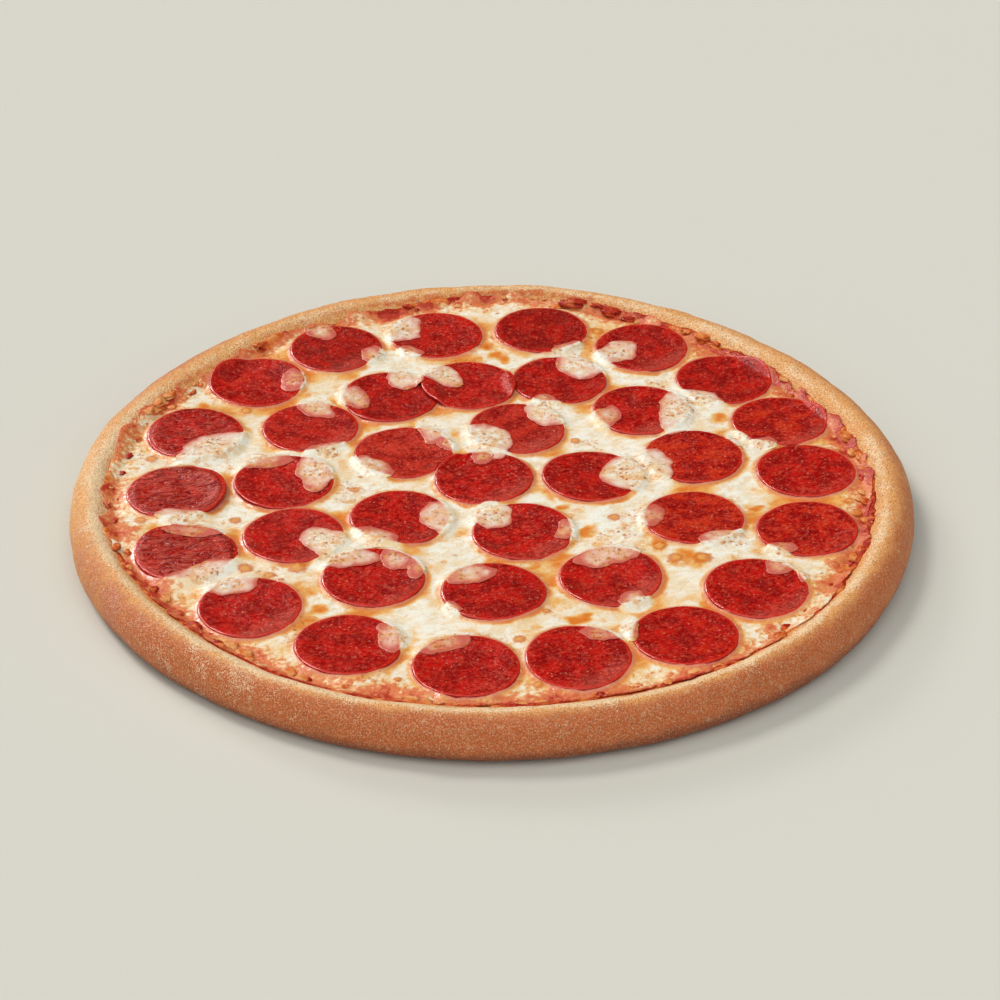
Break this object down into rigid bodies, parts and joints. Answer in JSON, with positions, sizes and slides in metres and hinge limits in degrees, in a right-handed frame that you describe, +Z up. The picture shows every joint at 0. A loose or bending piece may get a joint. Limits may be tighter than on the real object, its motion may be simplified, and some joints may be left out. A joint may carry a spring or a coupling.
{
  "type": "pepperoni pizza",
  "caption": "Whole round pizza with a raised baked rim, a ring of tomato sauce, melted cheese and rings of sliced pepperoni.",
  "frame": {"origin": "middle of the flat underside, on the surface that the pizza lies on", "axes": "+Z up through the toppings; +Y points away from the viewer of the picture, +X to the viewer's right"},
  "size_m": [0.356, 0.356, 0.0207],
  "materials": {
    "crust": "baked dough, dry and matt, pale to brown",
    "sauce": "baked tomato sauce, moist",
    "cheese": "melted mozzarella, slightly oily",
    "pepperoni": "cured sausage, oily, with pale specks of fat"
  },
  "bodies": {
    "root": {"crust": "crust", "sauce": "sauce", "cheese": "cheese", "pepperoni_outer_01": "pepperoni", "pepperoni_outer_02": "pepperoni", "pepperoni_outer_03": "pepperoni", "pepperoni_outer_04": "pepperoni", "pepperoni_outer_05": "pepperoni", "pepperoni_outer_06": "pepperoni", "pepperoni_outer_07": "pepperoni", "pepperoni_outer_08": "pepperoni", "pepperoni_outer_09": "pepperoni", "pepperoni_outer_10": "pepperoni", "pepperoni_outer_11": "pepperoni", "pepperoni_outer_12": "pepperoni", "pepperoni_outer_13": "pepperoni", "pepperoni_outer_14": "pepperoni", "pepperoni_outer_15": "pepperoni", "pepperoni_outer_16": "pepperoni", "pepperoni_outer_17": "pepperoni", "pepperoni_outer_18": "pepperoni", "pepperoni_middle_01": "pepperoni", "pepperoni_middle_02": "pepperoni", "pepperoni_middle_03": "pepperoni", "pepperoni_middle_04": "pepperoni", "pepperoni_middle_05": "pepperoni", "pepperoni_middle_06": "pepperoni", "pepperoni_middle_07": "pepperoni", "pepperoni_middle_08": "pepperoni", "pepperoni_middle_09": "pepperoni", "pepperoni_middle_10": "pepperoni", "pepperoni_middle_11": "pepperoni", "pepperoni_middle_12": "pepperoni", "pepperoni_inner_01": "pepperoni", "pepperoni_inner_02": "pepperoni", "pepperoni_inner_03": "pepperoni", "pepperoni_inner_04": "pepperoni", "pepperoni_inner_05": "pepperoni", "pepperoni_centre": "pepperoni", "cheese_patch_01": "cheese", "cheese_patch_02": "cheese", "cheese_patch_03": "cheese", "cheese_patch_04": "cheese", "cheese_patch_05": "cheese", "cheese_patch_06": "cheese", "cheese_patch_07": "cheese", "cheese_patch_08": "cheese", "cheese_patch_09": "cheese", "cheese_patch_10": "cheese", "cheese_patch_11": "cheese", "cheese_patch_12": "cheese", "cheese_patch_13": "cheese", "cheese_patch_14": "cheese", "cheese_patch_15": "cheese", "cheese_patch_16": "cheese", "cheese_patch_17": "cheese", "cheese_patch_18": "cheese", "cheese_patch_19": "cheese", "cheese_patch_20": "cheese"}
  },
  "joints": []
}
